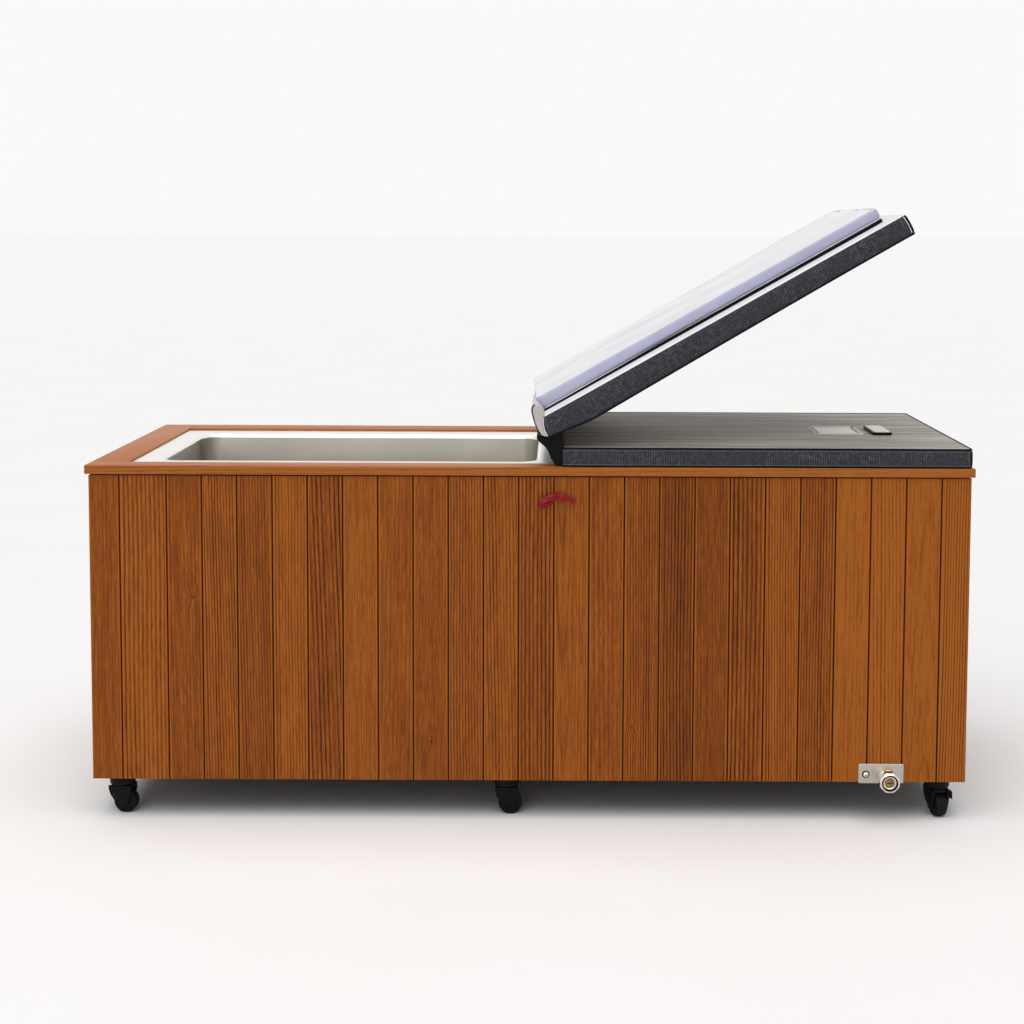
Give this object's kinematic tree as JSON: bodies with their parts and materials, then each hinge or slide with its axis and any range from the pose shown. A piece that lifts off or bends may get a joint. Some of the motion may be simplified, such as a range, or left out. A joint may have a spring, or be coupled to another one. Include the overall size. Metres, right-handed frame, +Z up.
{
  "type": "cold plunge tub",
  "caption": "Timber-clad cold plunge tub on casters with a flanged steel basin, an equipment bay and a two-leaf folding padded lid.",
  "frame": {"origin": "on the floor, under the middle of the whole tub with its drain fitting", "axes": "+X along the tub towards the equipment end, +Y to the back, +Z up"},
  "size_m": [2, 0.858, 1.3921],
  "materials": {
    "cedar": "satin",
    "plywood": "matte",
    "stainless": "satin",
    "frame_steel": "matte",
    "foam": "matte",
    "charcoal_vinyl": "matte",
    "white_vinyl": "satin",
    "black_vinyl": "satin",
    "light_plastic": "satin",
    "black_nylon": "satin",
    "black_tread": "matte",
    "chromed": "polished",
    "brass": "satin",
    "red_ribbon": "satin",
    "grey_plastic": "satin",
    "hose": "matte"
  },
  "bodies": {
    "cabinet": {"front_cladding": "cedar", "back_cladding": "cedar", "left_cladding": "cedar", "right_cladding": "cedar", "rim_left": "cedar", "rim_right": "cedar", "rim_front": "cedar", "rim_back": "cedar", "base_panel": "plywood", "inner_frame": "frame_steel", "steel_basin": "stainless", "basin_strainer": "chromed", "foam_shell": "foam", "bay_bulkhead": "plywood", "equipment_deck": "plywood", "chiller_case": "grey_plastic", "vent_grille": "black_nylon", "circulation_pump": "black_nylon", "filter_canister": "light_plastic", "suction_line": "hose", "return_line": "hose", "drain_plate": "chromed", "drain_body": "grey_plastic", "drain_line": "hose", "cable_gland": "black_nylon", "ribbon": "red_ribbon", "caster_fl_plate": "black_nylon", "caster_fm_plate": "black_nylon", "caster_fr_plate": "black_nylon", "caster_rl_plate": "black_nylon", "caster_rm_plate": "black_nylon", "caster_rr_plate": "black_nylon"},
    "fan": {"condenser_fan": "black_nylon"},
    "drain_ring": {"drain_collar": "chromed"},
    "drain_key": {"drain_plug": "brass"},
    "lid_lower": {"lid_lower_leaf": "charcoal_vinyl", "control_bezel": "light_plastic", "control_display": "light_plastic", "control_pod": "black_nylon", "hinge_gusset": "black_vinyl"},
    "pad": {"pod_pad": "light_plastic"},
    "lid_folding": {"lid_folding_leaf": "charcoal_vinyl", "lid_seal": "black_vinyl", "lid_plug": "white_vinyl"},
    "swivel_fl": {"caster_fl_fork": "black_nylon"},
    "wheel_fl": {"caster_fl_wheel": "black_tread"},
    "brake_fl": {"caster_fl_brake": "black_nylon"},
    "swivel_fm": {"caster_fm_fork": "black_nylon"},
    "wheel_fm": {"caster_fm_wheel": "black_tread"},
    "swivel_fr": {"caster_fr_fork": "black_nylon"},
    "wheel_fr": {"caster_fr_wheel": "black_tread"},
    "brake_fr": {"caster_fr_brake": "black_nylon"},
    "swivel_rl": {"caster_rl_fork": "black_nylon"},
    "wheel_rl": {"caster_rl_wheel": "black_tread"},
    "brake_rl": {"caster_rl_brake": "black_nylon"},
    "swivel_rm": {"caster_rm_fork": "black_nylon"},
    "wheel_rm": {"caster_rm_wheel": "black_tread"},
    "swivel_rr": {"caster_rr_fork": "black_nylon"},
    "wheel_rr": {"caster_rr_wheel": "black_tread"},
    "brake_rr": {"caster_rr_brake": "black_nylon"}
  },
  "joints": [
    {"name": "fan_spin", "type": "hinge", "parent": "cabinet", "child": "fan", "pos_m": [0.885, 0.021, 0.33], "axis": [1, 0, 0], "continuous": true},
    {"name": "drain_collar_turn", "type": "hinge", "parent": "cabinet", "child": "drain_ring", "pos_m": [0.811, -0.409, 0.105], "axis": [0, -1, 0], "continuous": true},
    {"name": "drain_plug_turn", "type": "hinge", "parent": "cabinet", "child": "drain_key", "pos_m": [0.811, -0.409, 0.105], "axis": [0, -1, 0], "range_deg": [0, 90]},
    {"name": "lid_lift", "type": "slide", "parent": "cabinet", "child": "lid_lower", "axis": [0, 0, 1], "range_m": [0, 0.15]},
    {"name": "lid_fold", "type": "hinge", "parent": "lid_lower", "child": "lid_folding", "pos_m": [0.0352, -0.0005, 0.8831], "axis": [0, -1, 0], "range_deg": [-29.6, 150.4], "deforming": ["hinge_gusset"]},
    {"name": "pad_press", "type": "slide", "parent": "lid_lower", "child": "pad", "axis": [0, 0, -1], "range_m": [0, 0.0015], "stiffness_N_per_m": 900, "springref_m": -0.002},
    {"name": "swivel_fl", "type": "hinge", "parent": "cabinet", "child": "swivel_fl", "pos_m": [-0.937, -0.324, 0.061], "axis": [0, 0, 1], "continuous": true},
    {"name": "roll_fl", "type": "hinge", "parent": "swivel_fl", "child": "wheel_fl", "pos_m": [-0.92809, -0.32525, 0.027], "axis": [-0.1392, -0.9903, 0], "continuous": true},
    {"name": "brake_fl", "type": "hinge", "parent": "swivel_fl", "child": "brake_fl", "pos_m": [-0.93338, -0.29825, 0.0515], "axis": [0.9903, -0.1392, 0], "range_deg": [0, 35]},
    {"name": "swivel_fm", "type": "hinge", "parent": "cabinet", "child": "swivel_fm", "pos_m": [-0.053, -0.324, 0.061], "axis": [0, 0, 1], "continuous": true},
    {"name": "roll_fm", "type": "hinge", "parent": "swivel_fm", "child": "wheel_fm", "pos_m": [-0.044, -0.324, 0.027], "axis": [0, -1, 0], "continuous": true},
    {"name": "swivel_fr", "type": "hinge", "parent": "cabinet", "child": "swivel_fr", "pos_m": [0.938, -0.324, 0.061], "axis": [0, 0, 1], "continuous": true},
    {"name": "roll_fr", "type": "hinge", "parent": "swivel_fr", "child": "wheel_fr", "pos_m": [0.94002, -0.33277, 0.027], "axis": [-0.9744, -0.225, 0], "continuous": true},
    {"name": "brake_fr", "type": "hinge", "parent": "swivel_fr", "child": "brake_fr", "pos_m": [0.96333, -0.31815, 0.0515], "axis": [0.225, -0.9744, 0], "range_deg": [0, 35]},
    {"name": "swivel_rl", "type": "hinge", "parent": "cabinet", "child": "swivel_rl", "pos_m": [-0.937, 0.366, 0.061], "axis": [0, 0, 1], "continuous": true},
    {"name": "roll_rl", "type": "hinge", "parent": "swivel_rl", "child": "wheel_rl", "pos_m": [-0.94479, 0.3705, 0.027], "axis": [0.5, 0.866, 0], "continuous": true},
    {"name": "brake_rl", "type": "hinge", "parent": "swivel_rl", "child": "brake_rl", "pos_m": [-0.95, 0.34348, 0.0515], "axis": [-0.866, 0.5, 0], "range_deg": [0, 35]},
    {"name": "swivel_rm", "type": "hinge", "parent": "cabinet", "child": "swivel_rm", "pos_m": [-0.053, 0.366, 0.061], "axis": [0, 0, 1], "continuous": true},
    {"name": "roll_rm", "type": "hinge", "parent": "swivel_rm", "child": "wheel_rm", "pos_m": [-0.06146, 0.36292, 0.027], "axis": [-0.342, 0.9397, 0], "continuous": true},
    {"name": "swivel_rr", "type": "hinge", "parent": "cabinet", "child": "swivel_rr", "pos_m": [0.938, 0.366, 0.061], "axis": [0, 0, 1], "continuous": true},
    {"name": "roll_rr", "type": "hinge", "parent": "swivel_rr", "child": "wheel_rr", "pos_m": [0.94033, 0.37469, 0.027], "axis": [0.9659, -0.2588, 0], "continuous": true},
    {"name": "brake_rr", "type": "hinge", "parent": "swivel_rr", "child": "brake_rr", "pos_m": [0.91289, 0.37273, 0.0515], "axis": [0.2588, 0.9659, 0], "range_deg": [0, 35]}
  ]
}
